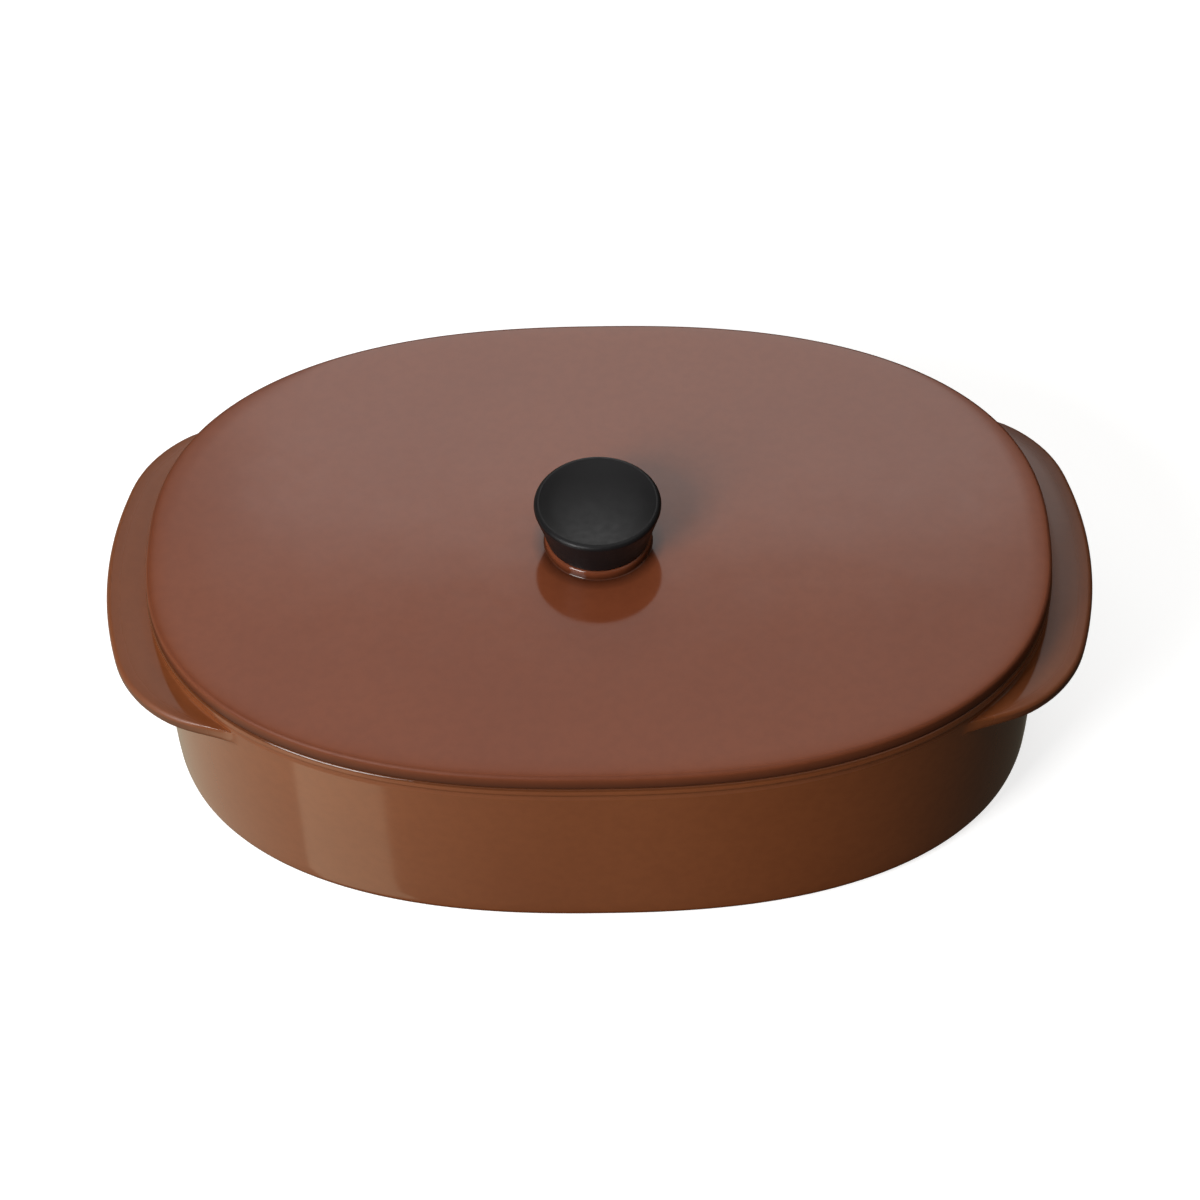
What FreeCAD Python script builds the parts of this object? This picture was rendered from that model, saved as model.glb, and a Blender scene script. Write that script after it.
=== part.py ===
import FreeCAD, Part
import math
import os

import Sketcher
from FreeCAD import Placement, Rotation, Vector

# Covered oval dish: a glazed stoneware oven dish with two wing handles moulded in one piece with it,
# and a loose flat lid whose knob is held by a screw from below. All lengths in millimetres.
# The frame: +X along the length through both wings, +Y to the back, +Z up, z = 0 under the foot.

SIZES = {
    "rim_length": (322.0, "outside of the rim bead along X"),
    "rim_width": (219.0, "outside of the rim bead along Y"),
    "outline_power": (2.4, "power of the oval's formula: 2 is an ellipse, more is squarer"),
    "dish_height": (78.0, "foot to the top of the rim"),
    "bead_height": (4.6, "height of the bead round the rim"),
    "bead_reach": (1.3, "how far the bead stands out from the wall"),
    "bead_bevel": (1.0, "bevel on the bead's top edge"),
    "wall_slope_inset": (4.6, "how far the wall's outside draws in from the rim to the foot"),
    "base_round": (5.0, "radius of the round at the foot of the wall"),
    "rim_land": (6.8, "width of the rim's flat top with its bevels"),
    "wall_thickness": (6.2, "wall near the floor"),
    "floor_thickness": (7.0, "floor above the foot's plane"),
    "floor_round": (14.0, "radius of the cove between the floor and the wall"),
    "rim_inner_bevel": (1.3, "bevel on the inner edge of the rim"),
    "foot_width": (6.5, "width of the foot ring"),
    "foot_recess": (1.6, "depth of the recess inside the foot ring"),
    "band_width": (36.0, "how far inwards the wall's swept band reaches; a core fills the rest"),
    "core_overlap": (4.0, "how far that core reaches into the band"),
    "cut_margin": (5.0, "air above the rim that the inside is cut through"),
    "wing_reach": (15.0, "how far each wing handle reaches beyond the rim's end"),
    "wing_drop": (7.0, "wing's top below the top of the rim"),
    "wing_thickness": (6.4, "wing from top to underside"),
    "wing_edge_round": (3.1, "round on the wing's upper outer edge"),
    "wing_under_bevel": (2.2, "bevel on the wing's lower outer edge"),
    "wing_end_radius": (150.0, "plan radius of the wing's end"),
    "wing_corner_radius": (46.0, "plan radius of the wing's two corners"),
    "wing_root_depth": (61.0, "inner ends of the wing's straight tails inside the rim's end"),
    "wing_tail_inset": (7.4, "those ends inside the rim's oval, along Y"),
    "wing_tail_rise": (57.2, "those ends beyond the centres of the corner arcs, along Y"),
    "wing_under_web": (3.6, "web between the wing's underside and the wall"),
    "lid_inset": (0.4, "lid's edge inside the rim's outside"),
    "lid_thickness": (6.0, "lid's plate"),
    "lid_edge_drop": (0.6, "how far the lid's top falls towards its edge"),
    "lid_edge_band": (7.0, "width over which the lid's top falls"),
    "lid_top_bevel": (1.1, "bevel on the lid's upper edge"),
    "lid_under_bevel": (0.8, "bevel on the lid's lower edge"),
    "flange_clearance": (1.6, "between the lid's locating flange and the inside of the rim"),
    "flange_thickness": (5.5, "locating flange under the lid"),
    "flange_depth": (5.0, "locating flange below the lid's plate"),
    "boss_diameter": (38.6, "seat for the knob on the lid"),
    "boss_height": (3.5, "seat for the knob above the lid"),
    "boss_web": (1.4, "web round the seat's foot"),
    "boss_bevel": (0.7, "bevel on the seat's upper edge"),
    "lid_hole": (8.0, "hole through the lid for the knob's screw"),
    "knob_top_diameter": (45.3, "widest, near the top"),
    "knob_bottom_diameter": (36.4, "where the knob meets its seat"),
    "knob_height": (16.7, "seat to the knob's rim"),
    "knob_rim_bevel": (1.1, "bevel on the knob's upper edge"),
    "knob_rim_width": (1.5, "flat rim between that bevel and the finger dish"),
    "knob_dish_slope": (7.0, "width over which the finger dish slopes to its flat middle"),
    "knob_dish_depth": (1.4, "finger dish in the knob's top"),
    "insert_across_flats": (9.0, "hexagonal brass insert moulded into the knob"),
    "insert_length": (9.0, "insert's length"),
    "knob_hole": (5.8, "hole for the screw's tip above the insert"),
    "knob_hole_depth": (11.0, "that hole above the seat"),
    "screw_diameter": (5.0, "screw's thread"),
    "thread_clearance": (0.05, "between the screw's thread and the insert, all round"),
    "screw_reach": (8.0, "screw into the knob above the seat"),
    "head_diameter": (10.0, "screw's head"),
    "head_height": (3.2, "screw's head"),
    "head_bevel": (1.2, "bevel on the screw's head"),
    "slot_width": (1.4, "each slot of the cross recess"),
    "slot_length": (5.2, "each slot of the cross recess"),
    "slot_depth": (1.7, "cross recess"),
    "washer_diameter": (15.0, "flat steel washer"),
    "washer_thickness": (1.2, "flat steel washer"),
    "washer_hole": (5.4, "flat steel washer"),
    "seal_diameter": (17.0, "soft washer between the steel one and the glaze"),
    "seal_thickness": (1.5, "soft washer"),
    "seal_hole": (5.6, "soft washer"),
}

# A round between the wall and a level surface is laid out as this many flats on its radius.
ROUND_STEPS = 3
# The knob stands on its seat on the lid.
KNOB_LEVEL = "sizes.dish_height + sizes.lid_thickness + sizes.boss_height"
# Points of the oval that its arcs run between, a multiple of four so that they include the axes.
OUTLINE_POINTS = 12
# Two edges no further apart than this lie in the same place.
SAME_PLACE = 1e-4

doc = FreeCAD.newDocument("covered_oval_dish")
sheet = doc.addObject("Spreadsheet::Sheet", "sizes")
for row, (alias, (value, meaning)) in enumerate(SIZES.items(), start=1):
    sheet.set(f"A{row}", alias)
    sheet.set(f"B{row}", str(value))
    sheet.set(f"C{row}", meaning)
    sheet.setAlias(f"B{row}", alias)
doc.recompute()


def size(alias):
    """One cell's value, for what is worked out by a formula."""
    return float(sheet.get(alias))


def sum_of(**shares):
    """A weighted sum of sizes: its value now and the expression that follows the sheet."""
    value = sum(share * size(alias) for alias, share in shares.items())
    terms = [f"{share:+g} * sizes.{alias}" for alias, share in shares.items()]
    return value, " ".join(terms)


def origin_plane(body, role):
    """One of the body's own origin planes."""
    return next(item for item in body.Origin.OriginFeatures if item.Role == role)


def new_body(label, level=None):
    """An empty body, placed at the level that the expression gives. Its label names its file."""
    body = doc.addObject("PartDesign::Body", label)
    body.Label = label
    if level:
        body.setExpression(".Placement.Base.z", level)
    return body


def new_sketch(body, name, role="XY_Plane", level=None):
    """An empty sketch on one of the body's origin planes, or at a level above it."""
    sketch = body.newObject("Sketcher::SketchObject", name)
    sketch.AttachmentSupport = [(origin_plane(body, role), "")]
    sketch.MapMode = "FlatFace"
    if level:
        sketch.setExpression(".AttachmentOffset.Base.z", level)
    return sketch


def add_dimension(sketch, kind, arguments, value, expression):
    """A driving dimension bound to the sheet."""
    index = sketch.addConstraint(Sketcher.Constraint(kind, *arguments, value))
    sketch.setExpression(f"Constraints[{index}]", expression)


def add_circle(sketch, diameter, clearance=None):
    """A circle about the sketch's origin, as wide as one size, and larger all round by another."""
    width, expression = sum_of(**{diameter: 1}, **({clearance: 2} if clearance else {}))
    circle = Part.Circle(Vector(0, 0, 0), Vector(0, 0, 1), width / 2)
    index = sketch.addGeometry(circle, False)
    sketch.addConstraint(Sketcher.Constraint("Coincident", index, 3, -1, 1))
    add_dimension(sketch, "Diameter", (index,), width, expression)


def add_hexagon(sketch, across_flats):
    """A hexagon about the sketch's origin, with two of its corners on the X axis."""
    radius = size(across_flats) / math.sqrt(3)
    corners = [
        Vector(radius * math.cos(turn * math.pi / 3), radius * math.sin(turn * math.pi / 3), 0)
        for turn in range(6)
    ]
    sides = [
        sketch.addGeometry(Part.LineSegment(corners[turn], corners[(turn + 1) % 6]), False)
        for turn in range(6)
    ]
    circle = sketch.addGeometry(Part.Circle(Vector(0, 0, 0), Vector(0, 0, 1), radius), True)
    sketch.addConstraint(Sketcher.Constraint("Coincident", circle, 3, -1, 1))
    for turn, side in enumerate(sides):
        sketch.addConstraint(Sketcher.Constraint("Coincident", side, 2, sides[(turn + 1) % 6], 1))
        sketch.addConstraint(Sketcher.Constraint("PointOnObject", side, 1, circle))
    for side in sides[1:]:
        sketch.addConstraint(Sketcher.Constraint("Equal", sides[0], side))
    sketch.addConstraint(Sketcher.Constraint("Horizontal", sides[1]))
    add_dimension(
        sketch, "Radius", (circle,), radius, f"sizes.{across_flats} / sqrt(3)"
    )


def add_rectangle(sketch, length, width):
    """A rectangle about the sketch's origin, its length along X."""
    x = size(length) / 2
    y = size(width) / 2
    corners = [Vector(-x, -y, 0), Vector(x, -y, 0), Vector(x, y, 0), Vector(-x, y, 0)]
    sides = [
        sketch.addGeometry(Part.LineSegment(corners[turn], corners[(turn + 1) % 4]), False)
        for turn in range(4)
    ]
    for turn, side in enumerate(sides):
        sketch.addConstraint(Sketcher.Constraint("Coincident", side, 2, sides[(turn + 1) % 4], 1))
        sketch.addConstraint(Sketcher.Constraint("Vertical" if turn % 2 else "Horizontal", side))
    sketch.addConstraint(Sketcher.Constraint("Symmetric", sides[0], 1, sides[2], 1, -1, 1))
    add_dimension(sketch, "DistanceX", (sides[0], 1, sides[0], 2), 2 * x, f"sizes.{length}")
    add_dimension(sketch, "DistanceY", (sides[1], 1, sides[1], 2), 2 * y, f"sizes.{width}")


def outline_point(turn):
    """Point of the oval |x/a|^p + |y/b|^p = 1 and the unit tangent there, anticlockwise."""
    half_length = size("rim_length") / 2
    half_width = size("rim_width") / 2
    power = size("outline_power")
    x = half_length * round(math.cos(turn), 12)
    y = half_width * round(math.sin(turn), 12)
    reach = (abs(x / half_length) ** power + abs(y / half_width) ** power) ** (-1 / power)
    point = Vector(x * reach, y * reach, 0)
    across = math.copysign(abs(point.x / half_length) ** (power - 1) / half_length, point.x)
    along = math.copysign(abs(point.y / half_width) ** (power - 1) / half_width, point.y)
    return point, Vector(-along, across, 0).normalize()


def tangent_arc(start, heading, end):
    """The circle and the two angles of the arc that leaves start along heading and ends at end."""
    chord = end - start
    to_centre = Vector(-heading.y, heading.x, 0)
    radius = chord.dot(chord) / (2 * chord.dot(to_centre))
    centre = start + to_centre * radius
    first = math.atan2(start.y - centre.y, start.x - centre.x)
    last = math.atan2(end.y - centre.y, end.x - centre.x)
    if last < first:
        last += 2 * math.pi
    return centre, radius, first, last


def rim_arcs():
    """The rim's outside as a closed chain of tangent arcs, two between each pair of points."""
    arcs = []
    for step in range(OUTLINE_POINTS):
        start, leave = outline_point(2 * math.pi * step / OUTLINE_POINTS)
        end, arrive = outline_point(2 * math.pi * (step + 1) / OUTLINE_POINTS)
        chord = end - start
        along = chord.dot(leave + arrive)
        turn = 2 * (1 - leave.dot(arrive))
        handle = (math.sqrt(along**2 + turn * chord.dot(chord)) - along) / turn
        before = start + leave * handle
        after = end - arrive * handle
        arcs.append(tangent_arc(start, leave, (before + after) / 2))
        arcs.append(tangent_arc((before + after) / 2, (after - before).normalize(), end))
    return arcs


def outline_sketch(body, name, inset, level=None):
    """The rim's outline moved inwards: arcs about the same centres with smaller radii."""
    sketch = new_sketch(body, name, level=level)
    for centre, radius, first, last in rim_arcs():
        circle = Part.Circle(centre, Vector(0, 0, 1), radius - inset)
        index = sketch.addGeometry(Part.ArcOfCircle(circle, first, last), False)
        sketch.addConstraint(Sketcher.Constraint("Block", index))
    return sketch


def section_sketch(body, name, corners):
    """A closed section on the XZ plane through corners (x, z), each bound to the sheet."""
    sketch = new_sketch(body, name, "XZ_Plane")
    places = [Vector(x[0], z[0], 0) for x, z in corners]
    sides = [
        sketch.addGeometry(Part.LineSegment(places[number - 1], places[number]), False)
        for number in range(len(corners))
    ]
    for number, (x, z) in enumerate(corners):
        before = sides[number]
        after = sides[(number + 1) % len(sides)]
        sketch.addConstraint(Sketcher.Constraint("Coincident", before, 2, after, 1))
        for kind, axis, (value, expression) in (("DistanceX", -2, x), ("DistanceY", -1, z)):
            if expression:
                add_dimension(sketch, kind, (-1, 1, after, 1), value, expression)
            else:
                sketch.addConstraint(Sketcher.Constraint("PointOnObject", after, 1, axis))
    return sketch


def edge_corner(insets, levels):
    """A corner of a section of the wall or lid: how far inside the rim, and its level."""
    inwards = {alias: -share for alias, share in insets.items()}
    return sum_of(rim_length=0.5, **inwards), sum_of(**levels)


def quarter_round(insets, levels, radius):
    """Corners along a quarter round, from the wall above it down to the level surface."""
    turns = [math.pi / 2 * step / ROUND_STEPS for step in range(ROUND_STEPS + 1)]
    return [
        edge_corner(
            {**insets, radius: 1 - math.cos(turn)},
            {**levels, radius: 1 - math.sin(turn)},
        )
        for turn in turns
    ]


def turned_corner(radii, levels):
    """A corner of a turned piece: how far from its axis, and its level."""
    return sum_of(**radii), sum_of(**levels)


def add_feature(body, kind, name, profile, **settings):
    """A feature on a sketch. Settings that are text are expressions, others are values."""
    volume_before = body.Shape.Volume if body.Tip else 0
    feature = body.newObject(f"PartDesign::{kind}", name)
    feature.Profile = profile
    for setting, value in settings.items():
        if isinstance(value, str):
            feature.setExpression(setting, value)
        else:
            setattr(feature, setting, value)
    doc.recompute()
    if kind == "Pocket" and body.Shape.Volume >= volume_before:
        raise RuntimeError(f"{name} cuts nothing")
    return feature


def sweep_round(body, kind, name, corners):
    """A section carried round the oval."""
    path = outline_sketch(body, f"{name}_path", 0)
    section = section_sketch(body, f"{name}_section", corners)
    pipe = add_feature(body, kind, name, section, Spine=(path, []))
    pipe.Mode = "Frenet"
    doc.recompute()
    return pipe


def turn_section(body, name, corners):
    """A section turned about the vertical axis."""
    section = section_sketch(body, f"{name}_section", corners)
    return add_feature(
        body, "Revolution", name, section, ReferenceAxis=(section, ["V_Axis"]), Angle=360.0
    )


def soften(body, kind, name, amount, chosen):
    """A Fillet or Chamfer on each edge of the body so far for which chosen(edge, bounds) is true."""
    base = body.Tip
    names = [
        f"Edge{number}"
        for number, edge in enumerate(base.Shape.Edges, start=1)
        if chosen(edge, edge.BoundBox)
    ]
    softened = body.newObject(f"PartDesign::{kind}", name)
    softened.Base = (base, names)
    softened.setExpression("Radius" if kind == "Fillet" else "Size", amount)
    doc.recompute()
    return softened


def flat_at(bounds, level):
    """True for an edge that lies in the horizontal plane at that level."""
    return abs(bounds.ZMin - level) < SAME_PLACE and abs(bounds.ZMax - level) < SAME_PLACE


def is_round(bounds, diameter):
    """True for an edge that is a full circle of that diameter."""
    return abs(bounds.XLength - size(diameter)) < SAME_PLACE


def wing_sketch(body):
    """The plan of both wings as one plate through the dish: at each end an arc, two corner arcs
    and straight tails that run into the wall, with straight sides between the tails inside it."""
    end_radius = size("wing_end_radius")
    corner_radius = size("wing_corner_radius")
    half_length = size("rim_length") / 2
    inner_x = half_length - size("wing_root_depth")
    fall = (1 - (inner_x / half_length) ** size("outline_power")) ** (1 / size("outline_power"))
    inner_y = size("rim_width") / 2 * fall - size("wing_tail_inset")
    corner_y = inner_y - size("wing_tail_rise")
    end_x = half_length + size("wing_reach") - end_radius
    end_turn = math.asin(corner_y / (end_radius - corner_radius))
    corner_x = end_x + (end_radius - corner_radius) * math.cos(end_turn)
    to_tail = math.hypot(inner_x - corner_x, inner_y - corner_y)
    corner_turn = math.atan2(inner_y - corner_y, inner_x - corner_x)
    corner_turn -= math.acos(corner_radius / to_tail)
    tail_x = corner_x + corner_radius * math.cos(corner_turn)
    tail_y = corner_y + corner_radius * math.sin(corner_turn)

    sketch = new_sketch(
        body,
        "wing_outline",
        level="sizes.dish_height - sizes.wing_drop - sizes.wing_thickness",
    )
    up = Vector(0, 0, 1)

    def arc(x, y, radius, first, last):
        circle = Part.Circle(Vector(x, y, 0), up, radius)
        return sketch.addGeometry(Part.ArcOfCircle(circle, first, last), False)

    def line(*places):
        return sketch.addGeometry(Part.LineSegment(*(Vector(x, y, 0) for x, y in places)), False)

    ends = []
    for side, half_turn in ((1, 0), (-1, math.pi)):
        end = arc(side * end_x, 0, end_radius, half_turn - end_turn, half_turn + end_turn)
        after = arc(
            side * corner_x,
            side * corner_y,
            corner_radius,
            half_turn + end_turn,
            half_turn + corner_turn,
        )
        tail = line((side * tail_x, side * tail_y), (side * inner_x, side * inner_y))
        before_tail = line((side * inner_x, -side * inner_y), (side * tail_x, -side * tail_y))
        before = arc(
            side * corner_x,
            -side * corner_y,
            corner_radius,
            half_turn - corner_turn,
            half_turn - end_turn,
        )
        ends.append((end, after, tail, before_tail, before))
    sides = [
        line((inner_x, inner_y), (-inner_x, inner_y)),
        line((-inner_x, -inner_y), (inner_x, -inner_y)),
    ]

    joints = []
    for number, (end, after, tail, before_tail, before) in enumerate(ends):
        following = ends[1 - number]
        joints += [
            ("Tangent", end, 2, after, 1),
            ("Tangent", after, 2, tail, 1),
            ("Coincident", tail, 2, sides[number], 1),
            ("Coincident", sides[number], 2, following[3], 1),
            ("Tangent", before_tail, 2, before, 1),
            ("Tangent", before, 2, end, 1),
            ("Equal", after, before),
            ("Vertical", after, 3, before, 3),
            ("Symmetric", tail, 2, before_tail, 1, -1),
        ]
    joints += [
        ("PointOnObject", ends[0][0], 3, -1),
        ("Symmetric", ends[0][0], 3, ends[1][0], 3, -2),
        ("Equal", ends[0][0], ends[1][0]),
        ("Equal", ends[0][1], ends[1][1]),
        ("Horizontal", ends[0][1], 3, ends[1][4], 3),
        ("Symmetric", ends[0][2], 2, ends[1][3], 1, -2),
    ]
    for joint in joints:
        sketch.addConstraint(Sketcher.Constraint(*joint))
    end, back, tail = ends[0][:3]
    add_dimension(sketch, "Radius", (end,), end_radius, "sizes.wing_end_radius")
    add_dimension(sketch, "Radius", (back,), corner_radius, "sizes.wing_corner_radius")
    add_dimension(
        sketch,
        "DistanceX",
        (-1, 1, end, 3),
        end_x,
        "sizes.rim_length / 2 + sizes.wing_reach - sizes.wing_end_radius",
    )
    add_dimension(
        sketch,
        "DistanceY",
        (back, 3, tail, 2),
        inner_y - corner_y,
        "sizes.wing_tail_rise",
    )
    add_dimension(
        sketch,
        "DistanceX",
        (-1, 1, tail, 2),
        inner_x,
        "sizes.rim_length / 2 - sizes.wing_root_depth",
    )
    inner_share = "(1 - sizes.wing_root_depth / (sizes.rim_length / 2))"
    add_dimension(
        sketch,
        "DistanceY",
        (-1, 1, tail, 2),
        inner_y,
        f"sizes.rim_width / 2 * (1 - {inner_share} ^ sizes.outline_power)"
        " ^ (1 / sizes.outline_power) - sizes.wing_tail_inset",
    )
    return sketch


def beyond_tails(bounds):
    """True for an edge of the wings' plate that lies outside the straight sides between its tails."""
    inner_x = size("rim_length") / 2 - size("wing_root_depth")
    return bounds.XMin > inner_x - SAME_PLACE or bounds.XMax < SAME_PLACE - inner_x


def at_wall(edge):
    """True for an arc of the wall's outside, which has the centre of one of the rim's arcs."""
    if not isinstance(edge.Curve, Part.Circle):
        return False
    centre = edge.Curve.Center
    return any(
        math.hypot(centre.x - rim_centre.x, centre.y - rim_centre.y) < SAME_PLACE
        for rim_centre, *_ in rim_arcs()
    )


def build_dish():
    """The dish: outer form with its foot ring and bead, the wings, then the inside cut out."""
    body = new_body("dish")
    core_inset = size("band_width") - size("core_overlap")
    bead_bottom = {"dish_height": 1, "bead_height": -1}
    foot_inside = {"wall_slope_inset": 1, "base_round": 1, "foot_width": 1}
    outside = [
        edge_corner({"band_width": 1}, {"foot_recess": 1}),
        edge_corner({"band_width": 1}, {"dish_height": 1}),
        edge_corner({"bead_bevel": 1}, {"dish_height": 1}),
        edge_corner({}, {"dish_height": 1, "bead_bevel": -1}),
        edge_corner({}, {**bead_bottom, "bead_reach": 1}),
        edge_corner({"bead_reach": 1}, bead_bottom),
        *quarter_round({"wall_slope_inset": 1}, {}, "base_round"),
        edge_corner(foot_inside, {}),
        edge_corner({**foot_inside, "foot_recess": 1}, {"foot_recess": 1}),
    ]
    add_feature(body, "Pad", "wings", wing_sketch(body), Length="sizes.wing_thickness")
    wing_top = size("dish_height") - size("wing_drop")
    wing_under = wing_top - size("wing_thickness")
    soften(
        body,
        "Fillet",
        "wing_edge",
        "sizes.wing_edge_round",
        lambda edge, bounds: flat_at(bounds, wing_top) and beyond_tails(bounds),
    )
    soften(
        body,
        "Chamfer",
        "wing_under_edge",
        "sizes.wing_under_bevel",
        lambda edge, bounds: flat_at(bounds, wing_under) and beyond_tails(bounds),
    )
    sweep_round(body, "AdditivePipe", "outer_wall", outside)
    core = outline_sketch(body, "core_outline", core_inset, "sizes.foot_recess")
    add_feature(body, "Pad", "core", core, Length="sizes.dish_height - sizes.foot_recess")
    soften(
        body,
        "Chamfer",
        "wing_under_root",
        "sizes.wing_under_web",
        lambda edge, bounds: flat_at(bounds, wing_under) and at_wall(edge),
    )

    wall_inside = {"wall_slope_inset": 1, "wall_thickness": 1}
    cove = quarter_round(wall_inside, {"floor_thickness": 1}, "floor_round")
    inside = [
        edge_corner({"band_width": 1}, {"floor_thickness": 1}),
        *reversed(cove),
        edge_corner({"rim_land": 1}, {"dish_height": 1, "rim_inner_bevel": -1}),
        edge_corner({"rim_land": 1, "rim_inner_bevel": -1}, {"dish_height": 1}),
        edge_corner({"rim_land": 1, "rim_inner_bevel": -1}, {"dish_height": 1, "cut_margin": 1}),
        edge_corner({"band_width": 1}, {"dish_height": 1, "cut_margin": 1}),
    ]
    sweep_round(body, "SubtractivePipe", "inside_wall", inside)
    middle = outline_sketch(body, "inside_outline", core_inset, "sizes.floor_thickness")
    add_feature(
        body,
        "Pocket",
        "inside",
        middle,
        Length="sizes.dish_height + sizes.cut_margin - sizes.floor_thickness",
        Reversed=True,
    )
    return body


def build_lid():
    """The lid: a flat plate that falls a little to its edge, a locating flange, the knob's seat."""
    body = new_body("lid", "sizes.dish_height")
    flange_outside = {"rim_land": 1, "flange_clearance": 1}
    flange_inside = {**flange_outside, "flange_thickness": 1}
    plate = {"lid_thickness": 1}
    edge_top = {"lid_thickness": 1, "lid_edge_drop": -1}
    section = [
        edge_corner({"band_width": 1}, plate),
        edge_corner({"band_width": 1}, {}),
        edge_corner(flange_inside, {}),
        edge_corner(flange_inside, {"flange_depth": -1}),
        edge_corner(flange_outside, {"flange_depth": -1}),
        edge_corner(flange_outside, {}),
        edge_corner({"lid_inset": 1, "lid_under_bevel": 1}, {}),
        edge_corner({"lid_inset": 1}, {"lid_under_bevel": 1}),
        edge_corner({"lid_inset": 1}, {**edge_top, "lid_top_bevel": -1}),
        edge_corner({"lid_inset": 1, "lid_top_bevel": 1}, edge_top),
        edge_corner({"lid_inset": 1, "lid_edge_band": 1}, plate),
    ]
    sweep_round(body, "AdditivePipe", "lid_edge", section)
    core_inset = size("band_width") - size("core_overlap")
    core = outline_sketch(body, "lid_core_outline", core_inset)
    add_feature(body, "Pad", "lid_core", core, Length="sizes.lid_thickness")
    seat = new_sketch(body, "seat_outline", level="sizes.lid_thickness")
    add_circle(seat, "boss_diameter")
    add_feature(body, "Pad", "knob_seat", seat, Length="sizes.boss_height")
    plate_top = size("lid_thickness")
    seat_top = plate_top + size("boss_height")
    soften(
        body,
        "Chamfer",
        "seat_foot",
        "sizes.boss_web",
        lambda edge, bounds: flat_at(bounds, plate_top) and is_round(bounds, "boss_diameter"),
    )
    soften(
        body,
        "Chamfer",
        "seat_edge",
        "sizes.boss_bevel",
        lambda edge, bounds: flat_at(bounds, seat_top),
    )
    hole = new_sketch(body, "hole_outline", level="sizes.lid_thickness + sizes.boss_height")
    add_circle(hole, "lid_hole")
    add_feature(
        body, "Pocket", "screw_hole", hole, Length="sizes.lid_thickness + sizes.boss_height"
    )
    return body


def build_knob():
    """The knob: a moulded truncated cone, wider at the top, with a shallow finger dish."""
    body = new_body("knob", KNOB_LEVEL)
    rim = {"knob_height": 1}
    rim_inside = {"knob_top_diameter": 0.5, "knob_rim_bevel": -1, "knob_rim_width": -1}
    dish_middle = {"knob_height": 1, "knob_dish_depth": -1}
    section = [
        turned_corner({}, {}),
        turned_corner({"knob_bottom_diameter": 0.5}, {}),
        turned_corner({"knob_top_diameter": 0.5}, {"knob_height": 1, "knob_rim_bevel": -1}),
        turned_corner({"knob_top_diameter": 0.5, "knob_rim_bevel": -1}, rim),
        turned_corner(rim_inside, rim),
        turned_corner({**rim_inside, "knob_dish_slope": -1}, dish_middle),
        turned_corner({}, dish_middle),
    ]
    turn_section(body, "knob_form", section)
    socket = new_sketch(body, "insert_outline")
    add_hexagon(socket, "insert_across_flats")
    add_feature(
        body, "Pocket", "insert_socket", socket, Length="sizes.insert_length", Reversed=True
    )
    hole = new_sketch(body, "hole_outline")
    add_circle(hole, "knob_hole")
    add_feature(body, "Pocket", "hole", hole, Length="sizes.knob_hole_depth", Reversed=True)
    return body


def build_insert():
    """The knob's insert: a threaded hexagonal bush that fills its socket in the knob."""
    body = new_body("knob_insert", KNOB_LEVEL)
    outline = new_sketch(body, "bush_outline")
    add_hexagon(outline, "insert_across_flats")
    add_feature(body, "Pad", "bush", outline, Length="sizes.insert_length")
    bore = new_sketch(body, "bore_outline", level="sizes.insert_length")
    add_circle(bore, "screw_diameter", "thread_clearance")
    add_feature(body, "Pocket", "bore", bore, Length="sizes.insert_length")
    return body


def build_screw():
    """The knob's screw, head down: z = 0 where its head bears on the steel washer."""
    body = new_body(
        "knob_screw", "sizes.dish_height - sizes.seal_thickness - sizes.washer_thickness"
    )
    tip = {
        "seal_thickness": 1,
        "washer_thickness": 1,
        "lid_thickness": 1,
        "boss_height": 1,
        "screw_reach": 1,
    }
    section = [
        turned_corner({}, {"head_height": -1}),
        turned_corner({"head_diameter": 0.5, "head_bevel": -1}, {"head_height": -1}),
        turned_corner({"head_diameter": 0.5}, {"head_height": -1, "head_bevel": 1}),
        turned_corner({"head_diameter": 0.5}, {}),
        turned_corner({"screw_diameter": 0.5}, {}),
        turned_corner({"screw_diameter": 0.5}, tip),
        turned_corner({}, tip),
    ]
    turn_section(body, "screw_form", section)
    outline = new_sketch(body, "slot_outline", level="-sizes.head_height")
    add_rectangle(outline, "slot_length", "slot_width")
    slot = add_feature(body, "Pocket", "slot", outline, Length="sizes.slot_depth", Reversed=True)
    cross = body.newObject("PartDesign::PolarPattern", "cross_recess")
    cross.Originals = [slot]
    cross.Axis = (outline, ["N_Axis"])
    cross.Angle = 90
    cross.Occurrences = 2
    body.Tip = cross
    doc.recompute()
    return body


def build_washer(label, level, diameter, hole, thickness):
    """A plain ring on the screw."""
    body = new_body(label, level)
    outline = new_sketch(body, f"{label}_outline")
    add_circle(outline, diameter)
    add_circle(outline, hole)
    add_feature(body, "Pad", f"{label}_ring", outline, Length=f"sizes.{thickness}")
    return body


pieces = [
    build_dish(),
    build_lid(),
    build_knob(),
    build_insert(),
    build_screw(),
    build_washer(
        "flat_washer",
        "sizes.dish_height - sizes.seal_thickness - sizes.washer_thickness",
        "washer_diameter",
        "washer_hole",
        "washer_thickness",
    ),
    build_washer(
        "seal_washer",
        "sizes.dish_height - sizes.seal_thickness",
        "seal_diameter",
        "seal_hole",
        "seal_thickness",
    ),
]
doc.recompute()

for item in doc.Objects:
    if "Invalid" in item.State or "Error" in item.State:
        raise RuntimeError(f"{item.Name} could not be built: {item.State}")
for piece in pieces:
    if piece.Shape.isNull() or not piece.Shape.isValid() or len(piece.Shape.Solids) != 1:
        raise RuntimeError(f"{piece.Label} is not one valid solid")

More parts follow.
